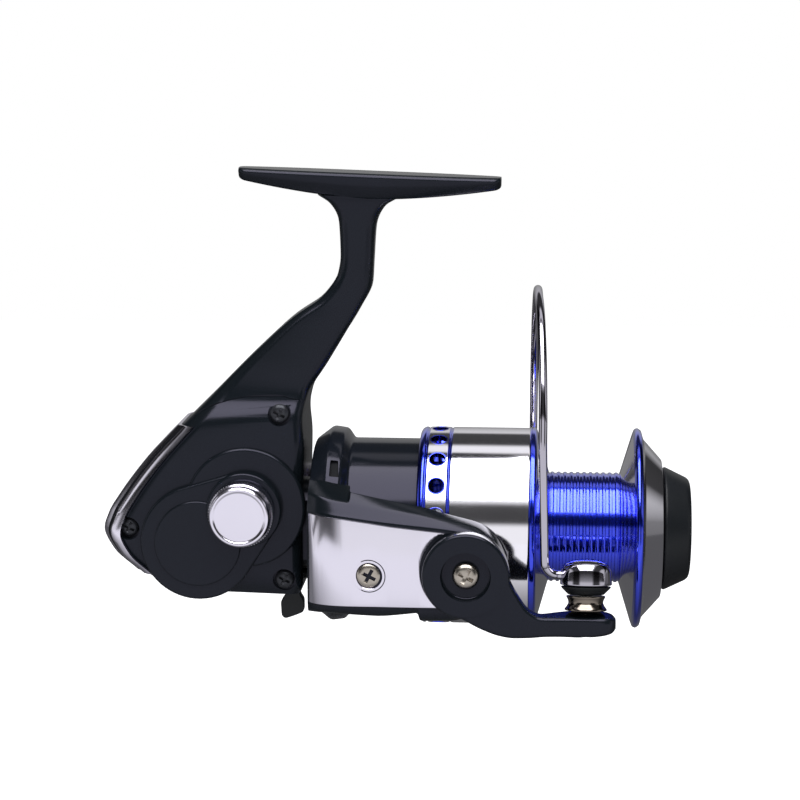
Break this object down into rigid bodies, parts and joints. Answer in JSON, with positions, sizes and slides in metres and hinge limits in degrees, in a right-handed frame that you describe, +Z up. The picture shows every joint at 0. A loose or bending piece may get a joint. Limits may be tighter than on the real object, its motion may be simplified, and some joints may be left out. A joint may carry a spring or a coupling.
{
  "type": "spinning reel",
  "caption": "Open-face fixed-spool fishing reel with a rotor and wire bail, a front drag knob, a crank handle and a foot for a rod's reel seat.",
  "frame": {"origin": "middle of the seat face on top of the foot, on the reel's middle plane", "axes": "+X forward along the spool axis towards the drag knob, +Z up from the body to the rod, the crank handle on the +Y side"},
  "size_m": [0.1526, 0.1152, 0.1195],
  "materials": {
    "body_black": "moulded, gloss black lacquer",
    "trim_silver": "bright plated trim",
    "plate_silver": "anodised satin silver",
    "spool_blue": "turned and anodised deep blue, mirror bands",
    "knob_black": "moulded satin black",
    "chrome": "polished chrome plate",
    "nickel": "nickel-plated screw",
    "steel": "turned steel",
    "zinc": "die-cast zinc alloy, close to cast iron in weight",
    "brass": "cut brass",
    "felt": "oiled felt",
    "grip_rubber": "moulded soft grip"
  },
  "bodies": {
    "frame": {"body_housing": "body_black", "side_cover": "body_black", "rear_guard": "trim_silver", "cover_screw_1": "steel", "cover_screw_2": "steel", "cover_screw_3": "steel", "crank_bearing_near": "steel", "crank_bearing_far": "steel", "pinion_bearing": "steel", "bearing_retainer": "steel", "oscillation_axle": "steel"},
    "rotor": {"rotor": "body_black", "pinion_gear": "brass", "ratchet_wheel": "steel", "rotor_nut": "steel", "arm_plate_near": "plate_silver", "arm_plate_far": "plate_silver", "plate_screw_near": "nickel", "plate_screw_far": "nickel", "bail_pivot_screw_near": "nickel", "bail_pivot_screw_far": "nickel"},
    "bail": {"bail_arm": "body_black", "bail_wire": "chrome", "bail_cap": "chrome", "roller_bush": "knob_black", "roller_screw": "nickel", "bail_holder": "body_black"},
    "line_roller": {"line_roller": "chrome"},
    "crank": {"crank_shaft": "steel", "drive_gear": "zinc", "oscillation_driver": "brass", "crank_arm": "plate_silver", "handle_screw_cap": "trim_silver", "handle_pin": "steel"},
    "handle_knob": {"handle_knob": "grip_rubber", "handle_knob_cap": "plate_silver"},
    "oscillator": {"oscillation_gear": "zinc"},
    "shaft": {"main_shaft": "steel", "oscillation_slider": "zinc", "slider_screw": "steel", "spool_stop": "brass", "click_wheel": "steel"},
    "spool": {"spool": "spool_blue", "drag_washer_felt_1": "felt", "drag_washer_felt_2": "felt", "drag_washer_felt_3": "felt", "drag_washer_steel_1": "steel", "drag_washer_steel_2": "steel", "drag_retainer": "steel"},
    "drag_knob": {"drag_knob": "knob_black", "drag_spring": "steel"},
    "ar_lever": {"anti_reverse_lever": "knob_black"},
    "ar_pawl": {"anti_reverse_pawl": "steel"}
  },
  "joints": [
    {"name": "rotor_spin", "type": "hinge", "parent": "frame", "child": "rotor", "pos_m": [0, 0, -0.092], "axis": [1, 0, 0], "continuous": true},
    {"name": "crank_spin", "type": "hinge", "parent": "frame", "child": "crank", "pos_m": [-0.0312, 0, -0.0852], "axis": [0, 1, 0], "continuous": true},
    {"name": "oscillation_spin", "type": "hinge", "parent": "frame", "child": "oscillator", "pos_m": [-0.0435, 0, -0.0945], "axis": [0, 1, 0], "continuous": true},
    {"name": "handle_knob_spin", "type": "hinge", "parent": "crank", "child": "handle_knob", "pos_m": [0.02048, 0.062, -0.10401], "axis": [0, 1, 0], "continuous": true},
    {"name": "spool_slide", "type": "slide", "parent": "frame", "child": "shaft", "axis": [1, 0, 0], "range_m": [-0.014, 0]},
    {"name": "spool_spin", "type": "hinge", "parent": "shaft", "child": "spool", "pos_m": [0, 0, -0.092], "axis": [1, 0, 0], "continuous": true},
    {"name": "drag_knob_turn", "type": "hinge", "parent": "shaft", "child": "drag_knob", "pos_m": [0, 0, -0.092], "axis": [1, 0, 0], "range_deg": [-720, 360]},
    {"name": "bail_flip", "type": "hinge", "parent": "rotor", "child": "bail", "pos_m": [0.0265, 0, -0.0962], "axis": [0, 1, 0], "range_deg": [0, 100]},
    {"name": "line_roller_spin", "type": "hinge", "parent": "bail", "child": "line_roller", "pos_m": [0.056, -0.0339, -0.1053], "axis": [0, 0.2079, 0.9781], "continuous": true},
    {"name": "anti_reverse_switch", "type": "hinge", "parent": "frame", "child": "ar_lever", "pos_m": [0, 0, -0.1059], "axis": [1, 0, 0], "range_deg": [0, 30]},
    {"name": "pawl_lift", "type": "hinge", "parent": "frame", "child": "ar_pawl", "pos_m": [0, 0.0094, -0.0982], "axis": [1, 0, 0], "range_deg": [0, 15]}
  ],
  "couplings": [
    {"joint": "crank_spin", "follows": "rotor_spin", "ratio": -0.19565},
    {"joint": "oscillation_spin", "follows": "rotor_spin", "ratio": 0.091304},
    {"joint": "pawl_lift", "follows": "anti_reverse_switch", "ratio": 0.5}
  ]
}
